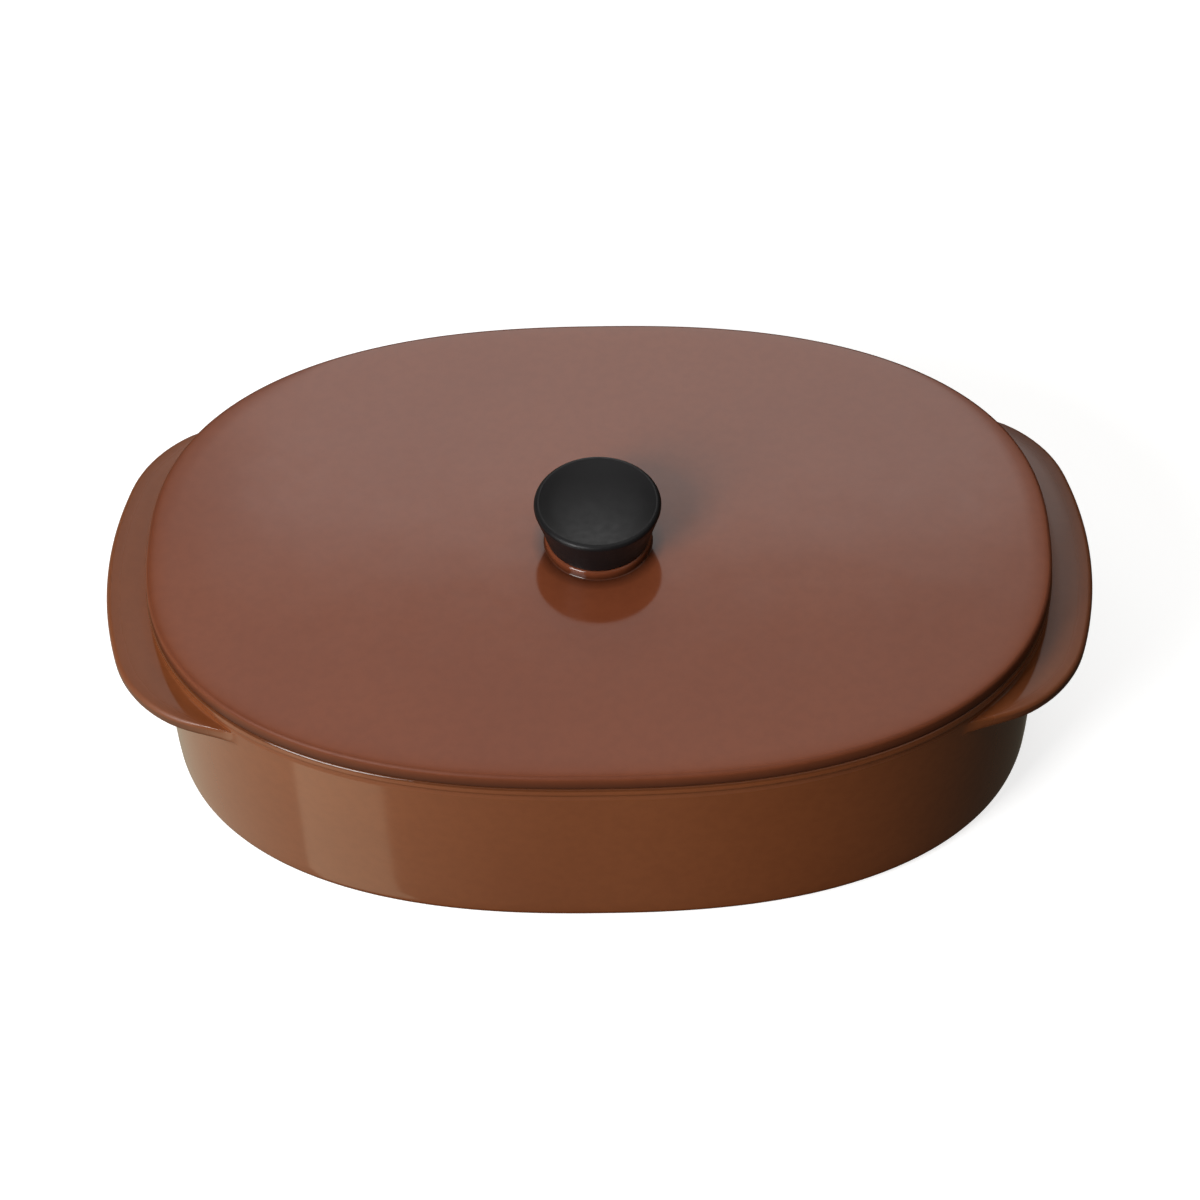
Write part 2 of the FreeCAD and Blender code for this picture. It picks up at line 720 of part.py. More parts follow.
os.makedirs("parts", exist_ok=True)
for piece in pieces:
    piece.Shape.exportStep(f"parts/{piece.Label}.step")
    bounds = piece.Shape.optimalBoundingBox()
    print(
        piece.Label,
        f"{piece.Shape.Volume:.0f} mm3,",
        f"{bounds.XLength:.1f} x {bounds.YLength:.1f} x {bounds.ZLength:.1f} mm,",
        f"z {bounds.ZMin:.1f} to {bounds.ZMax:.1f}",
    )
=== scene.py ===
import math

import bmesh
import bpy
from mathutils import Matrix, Vector


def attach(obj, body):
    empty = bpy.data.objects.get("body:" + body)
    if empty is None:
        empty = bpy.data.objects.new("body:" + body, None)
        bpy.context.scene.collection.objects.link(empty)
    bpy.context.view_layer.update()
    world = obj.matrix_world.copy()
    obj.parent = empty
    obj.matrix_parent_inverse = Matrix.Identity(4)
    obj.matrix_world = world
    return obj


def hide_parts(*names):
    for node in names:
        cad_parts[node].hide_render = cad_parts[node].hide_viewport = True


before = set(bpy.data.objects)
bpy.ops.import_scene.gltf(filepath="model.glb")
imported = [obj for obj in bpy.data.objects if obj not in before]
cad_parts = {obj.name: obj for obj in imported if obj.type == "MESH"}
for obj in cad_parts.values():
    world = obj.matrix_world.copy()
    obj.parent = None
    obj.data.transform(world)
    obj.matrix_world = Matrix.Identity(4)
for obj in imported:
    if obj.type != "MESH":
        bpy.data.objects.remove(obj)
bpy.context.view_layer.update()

# A covered oval dish in glazed stoneware. The forms of its pieces are in millimetres, and MM makes
# them metres. The grain of its finishes, the floor, the lights and the camera are in metres.
MM = 0.001

# The rim's oval: |x / half length| ^ power + |y / half width| ^ power = 1.
HALF_LENGTH = 161.0
HALF_WIDTH = 109.5
POWER = 2.4
STATIONS = 288  # places round the oval

RIM_TOP = 78.0
LID_TOP = 84.0
SEAT_TOP = 87.5
KNOB_TOP = 104.2

# The wing handles: flat plates with a rounded edge, moulded in one piece with the wall.
WING_END = 176.0
WING_TOP = 71.0
WING_UNDER = 64.6
WING_END_RADIUS = 150.0
WING_CORNER_RADIUS = 46.0
WING_CORNER_Y = 28.7
WING_TAIL = math.radians(18.5)
WING_ROOT = 100.0  # no wing nearer to the middle than this
WING_UNDER_FILLET = 5.0
WING_TOP_FILLET = 1.5
WING_FULL = 11.0  # a wing narrower than this fades into the wall
NOSE_UNDER = 3.2  # rounds on the wing's edge
NOSE_TOP = 1.8
FADE_DROP = 1.2  # how far a faded wing's upper rows move down, away from the bead's crease
FADE_FROM = 66.0  # the level above which they move
ROOT_STEPS = 5  # flats along the rounds of the wing's section
NOSE_UNDER_STEPS = 7
NOSE_TOP_STEPS = 6
ROOT_TOP_STEPS = 4
GLAZE_FULL = 8.0  # a wing that stands out this far carries its full painted shade and dulled glaze

# The wall, the rim and the foot, as distances inside the oval and levels.
CREASE = 73.4  # where the wall meets the underside of the rim's bead
CREASE_INSET = 1.6
CREASE_SLOPE = 1.5  # height of the bead's slope above the crease
WALL_INSET = 1.3  # at the crease
WALL_SLOPE = 3.3  # how much further the wall draws in down to the foot
RIM_LAND = 6.8
INSIDE_SLOPE = 4.9  # how much further the inside draws in from the rim to the floor
FLOOR_LEVEL = 7.0
WALL_LEVELS = (9, 18, 27, 36, 45, 53)
INSIDE_LEVELS = (72, 62, 50, 38, 26)
FOOT_RECESS = 1.6
FOOT_OUTSIDE = 4.9
FOOT_INSIDE = 16.1
FOOT_BEVEL = 1.3  # how far the foot ring's inner face slopes
FLOOR_MIDDLE = 34.0  # a row on the floor between the cove and the band's inner edge
BAND = 60.0  # the section's rows reach this far inwards, and a flat face closes the rest

# The lid's plate, its locating flange and the seat for the knob.
LID_INSET = 0.4
LID_EDGE_DROP = 0.2
FLANGE_DEPTH = 5.0
FLANGE_OUTSIDE = 8.4
FLANGE_INSIDE = 13.9
LID_MIDDLE = 30.0  # a row between the flange and the band's inner edge
HOLE_RADIUS = 4.0
SEAT_RADIUS = 19.0
SEAT_SURROUND = 24.0  # a row round the seat
SEAT_ROWS = 100  # the seat's rows are numbered from here, past the plate's

# The knob and the hollows in it for its insert and its screw.
KNOB_FOOT_RADIUS = 18.2
KNOB_RADIUS = 22.65
KNOB_WIDEST = 103.0  # level of its widest place
INSERT_RADIUS = 5.3
INSERT_TOP = 96.5
SCREW_RADIUS = 2.9
SCREW_TOP = 98.5


def oval(station):
    """Point of the rim's oval at a station, and the outward normal there."""
    turn = math.tau * station / STATIONS
    x = HALF_LENGTH * math.cos(turn)
    y = HALF_WIDTH * math.sin(turn)
    reach = (abs(x / HALF_LENGTH) ** POWER + abs(y / HALF_WIDTH) ** POWER) ** (-1 / POWER)
    x *= reach
    y *= reach
    across = math.copysign(abs(x / HALF_LENGTH) ** (POWER - 1) / HALF_LENGTH, x)
    along = math.copysign(abs(y / HALF_WIDTH) ** (POWER - 1) / HALF_WIDTH, y)
    return Vector((x, y)), Vector((across, along)).normalized()


def beyond_wing(point):
    """How far a point lies outside the wing's plan, negative inside."""
    x = abs(point.x)
    y = abs(point.y)
    end_x = WING_END - WING_END_RADIUS
    end_turn = math.asin(WING_CORNER_Y / (WING_END_RADIUS - WING_CORNER_RADIUS))
    corner_x = end_x + (WING_END_RADIUS - WING_CORNER_RADIUS) * math.cos(end_turn)
    if math.atan2(y, x - end_x) < end_turn:
        return math.hypot(x - end_x, y) - WING_END_RADIUS
    from_corner = Vector((x - corner_x, y - WING_CORNER_Y))
    tail_normal = Vector((math.sin(WING_TAIL), math.cos(WING_TAIL)))
    if math.atan2(from_corner.y, from_corner.x) < math.pi / 2 - WING_TAIL:
        return from_corner.length - WING_CORNER_RADIUS
    return from_corner.dot(tail_normal) - WING_CORNER_RADIUS


def wing_reach(station):
    """How far the wing stands out from the rim's oval along the normal at a station."""
    point, normal = oval(station)
    near = 0.0
    far = 40.0
    if abs(point.x) < WING_ROOT or beyond_wing(point) >= 0:
        return 0.0
    while far - near > 0.001:
        middle = (near + far) / 2
        if beyond_wing(point + normal * middle) < 0:
            near = middle
        else:
            far = middle
    return near


def wall_at(level):
    """The wall's outside below the bead: how far inside the oval at a level."""
    return -WALL_INSET - WALL_SLOPE * (CREASE - level) / CREASE


def round_corner(centre, radius, first, last, steps):
    """Places along a round between two angles in degrees."""
    turns = [math.radians(first + (last - first) * step / steps) for step in range(steps + 1)]
    return [
        (centre[0] + radius * math.cos(turn), centre[1] + radius * math.sin(turn))
        for turn in turns
    ]


def wing_section(reach):
    """The wing's section at one station, from below its root over its nose to its upper root."""
    root = wall_at(WING_UNDER)
    full = max(reach, root + WING_FULL)
    under = WING_UNDER - WING_UNDER_FILLET
    above = WING_TOP + WING_TOP_FILLET
    inner = root + WING_UNDER_FILLET
    upper = root + WING_TOP_FILLET
    out = full - NOSE_UNDER
    edge = (full - NOSE_TOP, WING_TOP - NOSE_TOP)
    places = [
        *round_corner((inner, under), WING_UNDER_FILLET, 180, 90, ROOT_STEPS),
        ((inner + out) / 2, WING_UNDER),
        *round_corner((out, WING_UNDER + NOSE_UNDER), NOSE_UNDER, -90, 0, NOSE_UNDER_STEPS),
        *round_corner(edge, NOSE_TOP, 0, 90, NOSE_TOP_STEPS),
        *[(upper + (out - root - WING_TOP_FILLET) * share, WING_TOP) for share in (0.66, 0.33)],
        *round_corner((upper, above), WING_TOP_FILLET, 270, 180, ROOT_TOP_STEPS),
    ]
    fade = reach / full
    faded = []
    for outward, level in places:
        # Where the wing fades out, its upper rows move down and leave room for the bead's crease.
        level -= FADE_DROP * (1 - fade) * max(level - FADE_FROM, 0.0) / (above - FADE_FROM)
        faded.append((wall_at(level) + (outward - wall_at(level)) * fade, level))
    return faded


def dish_section(reach):
    """The dish's section at one station, from under the foot over the rim to the floor inside."""
    inside_height = RIM_TOP - FLOOR_LEVEL
    return [
        (-BAND, FOOT_RECESS),
        (-FOOT_INSIDE - FOOT_BEVEL, FOOT_RECESS),
        (-FOOT_INSIDE, 0.0),
        (-FOOT_OUTSIDE, 0.0),
        *[(wall_at(level), level) for level in WALL_LEVELS],
        *wing_section(reach),
        (-CREASE_INSET, CREASE),
        (0.0, CREASE + CREASE_SLOPE),
        (0.0, RIM_TOP),
        (-RIM_LAND, RIM_TOP),
        *[
            (-RIM_LAND - INSIDE_SLOPE * (RIM_TOP - level) / inside_height, level)
            for level in INSIDE_LEVELS
        ],
        (-RIM_LAND - INSIDE_SLOPE, FLOOR_LEVEL),
        (-FLOOR_MIDDLE, FLOOR_LEVEL),
        (-BAND, FLOOR_LEVEL),
    ]


def lid_section():
    """The lid's section outside the knob's seat: over the top, round the edge, the flange below."""
    return [
        (-BAND, LID_TOP),
        (-LID_MIDDLE, LID_TOP),
        (-9.0, LID_TOP),
        (-6.2, LID_TOP - 0.01),
        (-3.6, LID_TOP - 0.06),
        (-LID_INSET, LID_TOP - LID_EDGE_DROP),
        (-LID_INSET, RIM_TOP),
        (-FLANGE_OUTSIDE, RIM_TOP),
        (-FLANGE_OUTSIDE, RIM_TOP - FLANGE_DEPTH),
        (-FLANGE_INSIDE, RIM_TOP - FLANGE_DEPTH),
        (-FLANGE_INSIDE, RIM_TOP),
        (-LID_MIDDLE, RIM_TOP),
        (-BAND, RIM_TOP),
    ]


def new_mesh():
    """An empty mesh whose vertices know their station, their row, their painted shade and their
    dulling.
    """
    bm = bmesh.new()
    for name in ("painted_shade", "dulled_glaze"):
        bm.verts.layers.float.new(name)
    for name in ("station", "row"):
        bm.verts.layers.int.new(name)
    return bm


def carry_round(bm, row_count, place_at, rows_before=0):
    """A circle set to a section's first row, then extruded from row to row.

    place_at gives a station's place on a row. The first and the last ring's edges come back.
    A vertex keeps its row's number plus one, so that a vertex of no row has nought.
    """
    stations = bm.verts.layers.int["station"]
    rows = bm.verts.layers.int["row"]
    ring = bmesh.ops.create_circle(bm, segments=STATIONS, radius=1.0)["verts"]
    for vert in ring:
        turn = math.atan2(vert.co.y, vert.co.x)
        vert[stations] = round(turn / math.tau * STATIONS) % STATIONS
    circle = set(ring)
    edges = [edge for edge in bm.edges if circle.issuperset(edge.verts)]
    first_ring = edges
    for row in range(row_count):
        if row:
            made = bmesh.ops.extrude_edge_only(bm, edges=edges)["geom"]
            ring = [item for item in made if isinstance(item, bmesh.types.BMVert)]
            edges = [
                item
                for item in made
                if isinstance(item, bmesh.types.BMEdge) and len(item.link_faces) == 1
            ]
        for vert in ring:
            vert.co = place_at(vert[stations], row) * MM
            vert[rows] = rows_before + row + 1
    return first_ring, edges


def oval_places(sections):
    """Places on the oval: each station's section stands out along the normal there."""

    def place_at(station, row):
        point, normal = oval(station)
        out, level = sections[station][row]
        place = point + normal * out
        return Vector((place.x, place.y, level))

    return place_at


def round_places(profile):
    """Places on circles about the knob's axis."""

    def place_at(station, row):
        turn = math.tau * station / STATIONS
        radius, level = profile[row]
        return Vector((radius * math.cos(turn), radius * math.sin(turn), level))

    return place_at


def soften(bm, row, radius, steps, shade=0.0, dull=0.0):
    """A round on one row's ring of edges, with the painted shade and the dulling of its glaze."""
    rows = bm.verts.layers.int["row"]
    shaded = bm.verts.layers.float["painted_shade"]
    dulled = bm.verts.layers.float["dulled_glaze"]
    ring = [edge for edge in bm.edges if all(vert[rows] == row + 1 for vert in edge.verts)]
    made = bmesh.ops.bevel(
        bm,
        geom=ring,
        offset=radius * MM,
        offset_type="OFFSET",
        affect="EDGES",
        segments=steps,
        profile=0.5,
        material=-1,
        clamp_overlap=True,
    )
    for vert in made["verts"]:
        vert[shaded] = shade
        vert[dulled] = dull
    return made["verts"]


def finish_piece(name, bm, materials, body, node):
    """The mesh becomes a piece that rides on a body and stands for a CAD node."""
    bmesh.ops.remove_doubles(bm, verts=bm.verts, dist=1e-6)
    bmesh.ops.recalc_face_normals(bm, faces=bm.faces)
    for face in bm.faces:
        face.smooth = True
    mesh = bpy.data.meshes.new(name)
    bm.to_mesh(mesh)
    bm.free()
    for material in materials:
        mesh.materials.append(material)
    piece = bpy.data.objects.new(name, mesh)
    bpy.context.scene.collection.objects.link(piece)
    shading = piece.modifiers.new("even_shading", "WEIGHTED_NORMAL")
    shading.weight = 50
    shading.keep_sharp = True
    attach(piece, body)
    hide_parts(node)


def spread_value(tree, source, span, to_span=(0.0, 1.0), curve="LINEAR"):
    """A value taken from one span to another, level outside it."""
    node = tree.nodes.new("ShaderNodeMapRange")
    node.interpolation_type = curve
    for socket, value in zip(("From Min", "From Max", "To Min", "To Max"), (*span, *to_span)):
        node.inputs[socket].default_value = value
    tree.links.new(source, node.inputs["Value"])
    return node.outputs["Result"]


def calculate(tree, operation, first, second):
    """One step of arithmetic on two values, each a number or another node's output."""
    node = tree.nodes.new("ShaderNodeMath")
    node.operation = operation
    for socket, value in zip(node.inputs, (first, second)):
        if isinstance(value, bpy.types.NodeSocket):
            tree.links.new(value, socket)
        else:
            socket.default_value = value
    return node.outputs["Value"]


class Finish:
    """A material and a short way to add and join its nodes."""

    def __init__(self, name, **shader):
        self.material = bpy.data.materials.new(name)
        self.material.use_nodes = True
        self.tree = self.material.node_tree
        self.shader = self.tree.nodes["Principled BSDF"]
        for socket, value in shader.items():
            self.shader.inputs[socket.replace("_", " ")].default_value = value
        self.coords = self.tree.nodes.new("ShaderNodeTexCoord").outputs["Object"]

    def link(self, source, target):
        self.tree.links.new(source, target)

    def noise(self, scale, detail=2.0, roughness=0.5, coords=None):
        node = self.tree.nodes.new("ShaderNodeTexNoise")
        node.inputs["Scale"].default_value = scale
        node.inputs["Detail"].default_value = detail
        node.inputs["Roughness"].default_value = roughness
        self.link(coords or self.coords, node.inputs["Vector"])
        return node.outputs["Fac"]

    def spread(self, source, low, high, to_low=0.0, to_high=1.0):
        return spread_value(self.tree, source, (low, high), (to_low, to_high))

    def painted(self, name):
        node = self.tree.nodes.new("ShaderNodeAttribute")
        node.attribute_name = name
        return node.outputs["Fac"]

    def mix(self, share, first, second):
        node = self.tree.nodes.new("ShaderNodeMix")
        node.data_type = "RGBA"
        self.link(share, node.inputs[0])
        for socket, value in ((node.inputs[6], first), (node.inputs[7], second)):
            if isinstance(value, bpy.types.NodeSocket):
                self.link(value, socket)
            else:
                socket.default_value = (*value, 1.0)
        return node.outputs[2]

    def colour(self, source):
        self.link(source, self.shader.inputs["Base Color"])

    def roughness(self, source):
        self.link(source, self.shader.inputs["Roughness"])

    def bump(self, source, depth, strength=1.0):
        node = self.tree.nodes.new("ShaderNodeBump")
        node.inputs["Strength"].default_value = strength
        node.inputs["Distance"].default_value = depth
        self.link(source, node.inputs["Height"])
        self.link(node.outputs["Normal"], self.shader.inputs["Normal"])


CLOUD_SHADE = 0.72  # colour of the fine clouds in the glaze, as a share of the deep colour
PAINTED_SHADE_TONE = 0.3  # colour of the painted shade, as a share of the deep colour
GLOSS_SPREAD = 0.03
DULLED_ROUGHNESS = 0.4  # how much rougher wholly dulled glaze is


def glaze(name, deep, warm, rough=0.078, specular=0.5):
    """Brown glaze: deep and warm patches, darker where painted shade is laid on, rougher where
    dulled, rippled.
    """
    finish = Finish(name, IOR=1.45, Specular_IOR_Level=specular)
    drift = finish.spread(finish.noise(11.0, 3.0, 0.55), 0.35, 0.65)
    body = finish.mix(drift, deep, warm)
    cloud = finish.spread(finish.noise(260.0, 4.0, 0.6), 0.4, 0.62, 0.0, 0.18)
    body = finish.mix(cloud, body, tuple(CLOUD_SHADE * share for share in deep))
    # Painted shade: the colour darkens towards a share of the deep colour where vertices carry
    # painted shade.
    shade = finish.spread(finish.painted("painted_shade"), 0.0, 1.0)
    finish.colour(finish.mix(shade, body, tuple(PAINTED_SHADE_TONE * share for share in deep)))
    gloss = finish.spread(finish.noise(150.0, 3.0), 0.3, 0.7, rough, rough + GLOSS_SPREAD)
    dulled = calculate(finish.tree, "MULTIPLY", finish.painted("dulled_glaze"), DULLED_ROUGHNESS)
    finish.roughness(calculate(finish.tree, "ADD", gloss, dulled))
    finish.bump(finish.noise(34.0, 1.0), 0.00006)
    return finish.material


def bare_clay():
    """Unglazed stoneware on the foot ring."""
    finish = Finish("bare_clay")
    grain = finish.spread(finish.noise(900.0, 5.0, 0.65), 0.35, 0.65)
    finish.colour(finish.mix(grain, (0.30, 0.17, 0.10), (0.42, 0.27, 0.17)))
    finish.roughness(finish.spread(grain, 0.0, 1.0, 0.75, 0.92))
    finish.bump(grain, 0.0001, 0.6)
    return finish.material


def satin_black():
    """Moulded plastic with a fine satin grain."""
    finish = Finish("satin_black", IOR=1.5, Specular_IOR_Level=0.22)
    grain = finish.noise(2600.0, 3.0, 0.6)
    patch = finish.spread(finish.noise(70.0, 2.0), 0.3, 0.7)
    finish.colour(finish.mix(patch, (0.0060, 0.0058, 0.0066), (0.0080, 0.0077, 0.0086)))
    finish.roughness(finish.spread(finish.noise(320.0, 3.0), 0.3, 0.7, 0.36, 0.46))
    finish.bump(grain, 0.00002, 0.5)
    return finish.material


def turned_metal(name, dark, light, low, high):
    """Turned metal: fine rings about its axis and a little wear."""
    finish = Finish(name, Metallic=1.0)
    mapping = finish.tree.nodes.new("ShaderNodeMapping")
    mapping.inputs["Scale"].default_value = (1.0, 1.0, 40.0)
    finish.link(finish.coords, mapping.inputs["Vector"])
    rings = finish.noise(160.0, 4.0, 0.6, mapping.outputs["Vector"])
    finish.colour(finish.mix(finish.spread(rings, 0.35, 0.65), dark, light))
    finish.roughness(finish.spread(rings, 0.35, 0.65, low, high))
    finish.bump(rings, 0.00002, 0.4)
    return finish.material


def soft_rubber():
    """Matte moulded rubber."""
    finish = Finish("soft_rubber")
    grain = finish.noise(1500.0, 4.0, 0.6)
    patch = finish.spread(grain, 0.3, 0.7)
    finish.colour(finish.mix(patch, (0.012, 0.012, 0.012), (0.022, 0.021, 0.02)))
    finish.roughness(finish.spread(grain, 0.3, 0.7, 0.7, 0.85))
    finish.bump(grain, 0.00003, 0.5)
    return finish.material


dish_glaze = glaze("dish_glaze", (0.174, 0.0490, 0.0160), (0.192, 0.0560, 0.0185))
lid_glaze = glaze("lid_glaze", (0.172, 0.0450, 0.0185), (0.188, 0.0505, 0.0205))
# Painted shade: a darker, rougher and less glossy copy of the lid's glaze for its edge band.
lid_edge_shaded_glaze = glaze(
    "lid_edge_shaded_glaze",
    (0.140, 0.0360, 0.0140),
    (0.155, 0.0410, 0.0160),
    rough=0.5,
    specular=0.25,
)
clay = bare_clay()

# The dish: one wall from under the foot to the floor inside, the wings drawn out of it.
# The rows that follow are places in its section, counted from nought.
FOOT_INNER_ROWS = (2, 1)
FOOT_OUTER_ROW = 3
WING_ROW = FOOT_OUTER_ROW + 1 + len(WALL_LEVELS)
NOSE_ROW = WING_ROW + ROOT_STEPS + 2
NOSE_TOP_ROW = NOSE_ROW + NOSE_UNDER_STEPS + 1
WING_FLAT_ROW = NOSE_TOP_ROW + NOSE_TOP_STEPS + 1
CREASE_ROW = WING_ROW + len(wing_section(0.0))
BEAD_ROW = CREASE_ROW + 1
RIM_OUTER_ROW = CREASE_ROW + 2
RIM_INNER_ROW = CREASE_ROW + 3
COVE_ROW = RIM_INNER_ROW + len(INSIDE_LEVELS) + 1
COVE_ROUND = 14.0
FOOT_ROUND = 5.0
RIM_INNER_ROUND = 1.6
RIM_GAP_SHADE_EDGE = 0.6  # painted shade of the lid's gap lies on the rim's outer edge within this of its top

bm = new_mesh()
reaches = [wing_reach(station) for station in range(STATIONS)]
sections = [dish_section(reach) for reach in reaches]
for ring in carry_round(bm, len(sections[0]), oval_places(sections)):
    bmesh.ops.contextual_create(bm, geom=ring)
rows = bm.verts.layers.int["row"]
stations = bm.verts.layers.int["station"]
shaded = bm.verts.layers.float["painted_shade"]
dulled = bm.verts.layers.float["dulled_glaze"]
foot_ring = {FOOT_INNER_ROWS[0] + 1, FOOT_OUTER_ROW + 1}
for face in bm.faces:
    if {vert[rows] for vert in face.verts} == foot_ring:
        face.material_index = 1
# Painted shade on the wings: deeper on their noses, lighter on their tops, growing with how far a
# wing stands out; the noses are also dulled.
for vert in bm.verts:
    row = vert[rows] - 1
    full = min(reaches[vert[stations]] / GLAZE_FULL, 1.0)
    if NOSE_ROW <= row < WING_FLAT_ROW:
        vert[dulled] = full
    if NOSE_ROW <= row <= NOSE_TOP_ROW:
        vert[shaded] = 0.6 * full
    elif NOSE_TOP_ROW < row <= WING_FLAT_ROW + 1:
        vert[shaded] = 0.2 * full
soften(bm, COVE_ROW, COVE_ROUND, 8)
soften(bm, RIM_INNER_ROW, RIM_INNER_ROUND, 4)
rim_edge = soften(bm, RIM_OUTER_ROW, 0.9, 4)
soften(bm, BEAD_ROW, 0.9, 4, dull=0.6)
# A faint painted shade in the crease under the bead.
soften(bm, CREASE_ROW, 0.6, 3, shade=0.1, dull=1.0)
soften(bm, CREASE_ROW - 1, 0.9, 4, dull=1.0)
soften(bm, FOOT_OUTER_ROW, FOOT_ROUND, 6)
for row in FOOT_INNER_ROWS:
    soften(bm, row, 0.6, 2)
# Painted shade of the gap under the lid, on the rim's outer top edge.
for vert in rim_edge:
    if vert.co.z > (RIM_TOP - RIM_GAP_SHADE_EDGE) * MM:
        vert[shaded] = 0.6
finish_piece("dish_shell", bm, [dish_glaze, clay], "dish", "dish")

# The lid: the plate carried round the oval, its middle bridged to the knob's round seat.
LID_UPPER_ROW = 5
LID_LOWER_ROW = 6
FLANGE_ROWS = (7, 8, 9, 10)
SEAT_HOLE_ROW = SEAT_ROWS + 1
SEAT_EDGE_ROW = SEAT_ROWS + 2
SEAT_FOOT_ROW = SEAT_ROWS + 3

bm = new_mesh()
section = lid_section()
over, under = carry_round(bm, len(section), oval_places([section] * STATIONS))
seat = [
    (HOLE_RADIUS, RIM_TOP),
    (HOLE_RADIUS, SEAT_TOP),
    (SEAT_RADIUS, SEAT_TOP),
    (SEAT_RADIUS, LID_TOP),
    (SEAT_SURROUND, LID_TOP),
]
hole, surround = carry_round(bm, len(seat), round_places(seat), SEAT_ROWS)
bmesh.ops.bridge_loops(bm, edges=surround + over)
bmesh.ops.bridge_loops(bm, edges=hole + under)
# Painted shade on the knob's seat ring, light on its top round and deep at its foot.
soften(bm, SEAT_EDGE_ROW, 1.0, 4, shade=0.25)
soften(bm, SEAT_FOOT_ROW, 0.5, 3, shade=0.9)
soften(bm, SEAT_HOLE_ROW, 0.4, 2)
# The lid's edge band takes the darker edge glaze as painted shade; its lower round also gets deep
# painted shade of the gap over the rim.
lid_edge = set(soften(bm, LID_UPPER_ROW, 1.3, 5, shade=0.1))
lid_edge.update(soften(bm, LID_LOWER_ROW, 1.0, 4, shade=0.8))
for face in bm.faces:
    if lid_edge.issuperset(face.verts):
        face.material_index = 1
for row in FLANGE_ROWS:
    soften(bm, row, 1.0, 3)
finish_piece("lid_plate", bm, [lid_glaze, lid_edge_shaded_glaze], "lid", "lid")

# The knob: turned about its axis, with a shallow finger dish.
bm = bmesh.new()
profile = [
    (0.0, SCREW_TOP),
    (SCREW_RADIUS, SCREW_TOP),
    (SCREW_RADIUS, INSERT_TOP),
    (INSERT_RADIUS, INSERT_TOP),
    (INSERT_RADIUS, SEAT_TOP),
    (KNOB_FOOT_RADIUS, SEAT_TOP),
    (KNOB_RADIUS, KNOB_WIDEST),
    (21.6, KNOB_TOP),
    (20.6, KNOB_TOP - 0.05),
    (18.0, KNOB_TOP - 0.85),
    (15.0, KNOB_TOP - 1.45),
    (11.5, KNOB_TOP - 1.95),
    (7.5, KNOB_TOP - 2.3),
    (3.5, KNOB_TOP - 2.47),
    (0.0, KNOB_TOP - 2.5),
]
chain = [bm.verts.new(Vector((radius, 0.0, level)) * MM) for radius, level in profile]
for pair in zip(chain, chain[1:]):
    bm.edges.new(pair)
knob_foot, knob_widest, knob_edge = chain[5:8]
for corners, radius, steps in (([knob_widest, knob_edge], 0.7, 4), ([knob_foot], 0.5, 3)):
    bmesh.ops.bevel(
        bm,
        geom=corners,
        offset=radius * MM,
        affect="VERTICES",
        segments=steps,
        profile=0.5,
        material=-1,
    )
bmesh.ops.spin(
    bm,
    geom=bm.verts[:] + bm.edges[:],
    cent=(0, 0, 0),
    axis=(0, 0, 1),
    angle=math.tau,
    steps=128,
    use_merge=True,
)
finish_piece("knob_grip", bm, [satin_black()], "lid", "knob")

# The small metal and rubber pieces keep their forms.
steel = turned_metal("zinc_steel", (0.50, 0.50, 0.51), (0.66, 0.66, 0.68), 0.22, 0.36)
brass = turned_metal("brass", (0.55, 0.38, 0.16), (0.72, 0.54, 0.26), 0.2, 0.34)
rubber = soft_rubber()
small_finishes = {
    "knob_insert": brass,
    "knob_screw": steel,
    "flat_washer": steel,
    "seal_washer": rubber,
}
for name, material in small_finishes.items():
    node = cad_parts[name]
    for slot in node.material_slots:
        slot.material = material

# A plain pale floor for the camera alone: it neither lights nor shades the dish, and the glaze
# doesn't mirror it.
bm = bmesh.new()
bmesh.ops.create_grid(bm, x_segments=1, y_segments=1, size=6.0)
mesh = bpy.data.meshes.new("floor")
bm.to_mesh(mesh)
bm.free()
floor_finish = Finish(
    "floor",
    Roughness=0.7,
    Specular_IOR_Level=0.1,
    Emission_Color=(1.0, 1.0, 1.0, 1.0),
    Emission_Strength=0.76,
)
floor_finish.colour(
    floor_finish.mix(floor_finish.noise(3.0), (0.52, 0.52, 0.52), (0.54, 0.54, 0.54))
)
mesh.materials.append(floor_finish.material)
floor = bpy.data.objects.new("floor", mesh)
floor.visible_diffuse = False
floor.visible_glossy = False
floor.visible_shadow = False
bpy.context.scene.collection.objects.link(floor)


def feather(light, margins):
    """The light fades out at its sides over shares of its width and of its height."""
    light.use_nodes = True
    tree = light.node_tree
    panel = tree.nodes.new("ShaderNodeNewGeometry").outputs["Parametric"]
    place = tree.nodes.new("ShaderNodeSeparateXYZ")
    tree.links.new(panel, place.inputs["Vector"])
    sides = []
    for axis, margin in zip("XY", margins):
        nearest = calculate(tree, "PINGPONG", place.outputs[axis], 0.5)
        sides.append(spread_value(tree, nearest, (0.0, margin), curve="SMOOTHSTEP"))
    strength = calculate(tree, "MULTIPLY", *sides)
    tree.links.new(strength, tree.nodes["Emission"].inputs["Strength"])


LIGHTS_AIM = Vector((0.0, 0.0, 0.07))


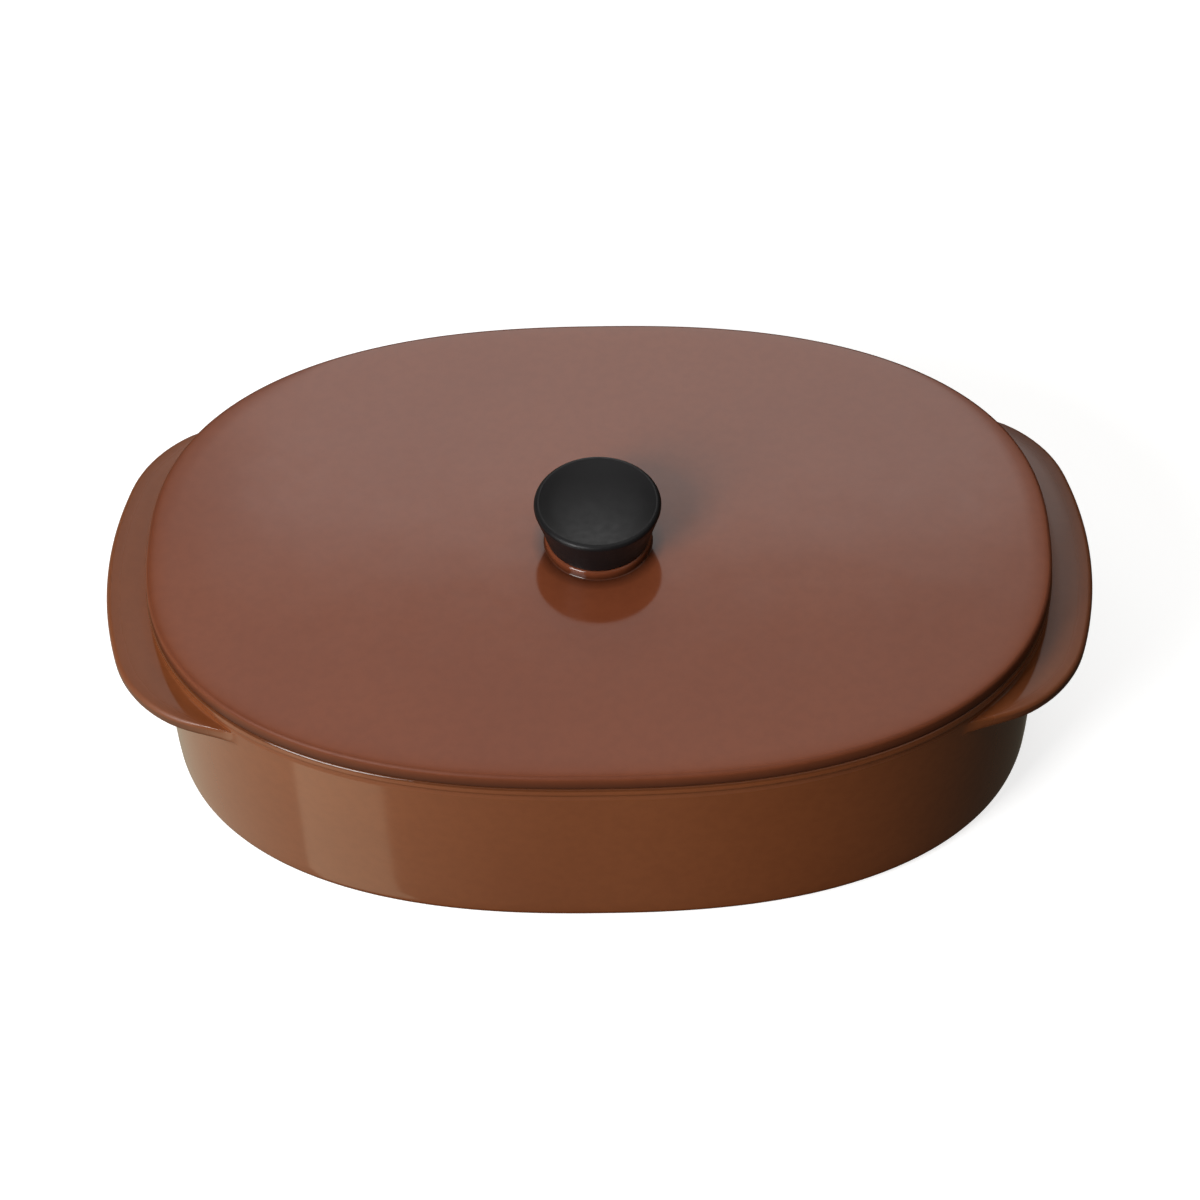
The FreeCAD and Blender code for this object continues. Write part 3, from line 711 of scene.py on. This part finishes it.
def softbox(name, azimuth, elevation, distance, spread, radiance, margins=None, colour=(1, 1, 1)):
    """An area light that faces the dish; azimuth 0 is at the front and 90 on the left.

    spread is how wide and how high it looks from the dish, in degrees.
    """
    width, height = (2 * distance * math.tan(math.radians(angle / 2)) for angle in spread)
    light = bpy.data.lights.new(name, "AREA")
    light.shape = "RECTANGLE"
    light.size = width
    light.size_y = height
    light.energy = radiance * math.pi * width * height
    light.color = colour
    if margins:
        feather(light, margins)
    lamp = bpy.data.objects.new(name, light)
    turn = math.radians(azimuth)
    lift = math.radians(elevation)
    level = math.cos(lift)
    away = Vector((-math.sin(turn) * level, -math.cos(turn) * level, math.sin(lift)))
    lamp.location = LIGHTS_AIM + away * distance
    lamp.rotation_euler = away.to_track_quat("Z", "Y").to_euler()
    bpy.context.scene.collection.objects.link(lamp)


softbox("key", 43.0, 31.0, 1.4, (23.0, 32.0), 15.2)
softbox("key_in_table", 50.5, -48.0, 5.0, (15.5, 30.0), 0.65, colour=(1.0, 0.85, 0.6))
softbox("back_panel", 180.0, 37.0, 4.0, (34.0, 58.0), 0.95, (0.3, 0.3))
softbox("back_window", 180.5, 28.0, 4.0, (19.0, 41.5), 1.4, (0.14, 0.045))
softbox("overhead", 180.0, 89.0, 3.0, (70.0, 46.0), 0.95)

# The surroundings: dark above, and below a table that is bright on the left and dark on the right.
SKY_STRENGTH = 0.08
SURROUNDINGS_COLOUR = (1.0, 0.92, 0.70, 1.0)
FLOOR_TONE = (0.9, 0.9, 0.9, 1.0)

world = bpy.data.worlds.new("studio")
world.use_nodes = True
tree = world.node_tree
background = tree.nodes["Background"]
direction = tree.nodes.new("ShaderNodeSeparateXYZ")
view = tree.nodes.new("ShaderNodeTexCoord").outputs["Generated"]
tree.links.new(view, direction.inputs["Vector"])
table = spread_value(tree, direction.outputs["X"], (0.35, -0.8), (0.06, 0.8), "SMOOTHSTEP")
above = spread_value(tree, direction.outputs["Z"], (-0.05, 0.05))
# The table is dark right under the dish.
beside = spread_value(tree, direction.outputs["Z"], (-0.98, -0.82), (0.08, 1.0))
ambient = tree.nodes.new("ShaderNodeMix")
ambient.inputs["B"].default_value = SKY_STRENGTH
tree.links.new(above, ambient.inputs["Factor"])
tree.links.new(calculate(tree, "MULTIPLY", table, beside), ambient.inputs["A"])
tree.links.new(ambient.outputs["Result"], background.inputs["Strength"])
background.inputs["Color"].default_value = SURROUNDINGS_COLOUR
# Past the floor's edge the camera sees a pale tone near the floor's.
pale = tree.nodes.new("ShaderNodeBackground")
pale.inputs["Color"].default_value = FLOOR_TONE
seen = tree.nodes.new("ShaderNodeMixShader")
by_camera = tree.nodes.new("ShaderNodeLightPath").outputs["Is Camera Ray"]
tree.links.new(by_camera, seen.inputs["Fac"])
tree.links.new(background.outputs["Background"], seen.inputs[1])
tree.links.new(pale.outputs["Background"], seen.inputs[2])
tree.links.new(seen.outputs["Shader"], tree.nodes["World Output"].inputs["Surface"])
bpy.context.scene.world = world
bpy.context.scene.view_settings.view_transform = "Standard"

# The camera stands where the photograph was taken from.
CAMERA_RISE = math.radians(48.40)
CAMERA_TURN = math.radians(0.632)
CAMERA_ROLL = math.radians(-1.254)
CAMERA_DISTANCE = 1.44498
CAMERA_TARGET = Vector((0.00014, 0.0, 0.05186))
back = Vector(
    (
        math.sin(CAMERA_TURN) * math.cos(CAMERA_RISE),
        -math.cos(CAMERA_TURN) * math.cos(CAMERA_RISE),
        math.sin(CAMERA_RISE),
    )
)
level_right = (-back).cross(Vector((0, 0, 1))).normalized()
level_up = level_right.cross(-back)
right = level_right * math.cos(CAMERA_ROLL) + level_up * math.sin(CAMERA_ROLL)
up = level_up * math.cos(CAMERA_ROLL) - level_right * math.sin(CAMERA_ROLL)
lens = bpy.data.cameras.new("camera")
lens.sensor_width = 36.0
lens.lens = 120.0
lens.clip_start = 0.05
camera = bpy.data.objects.new("camera", lens)
camera.matrix_world = Matrix.Translation(CAMERA_TARGET + back * CAMERA_DISTANCE) @ Matrix(
    (right, up, back)
).transposed().to_4x4()
bpy.context.scene.collection.objects.link(camera)
bpy.context.scene.camera = camera
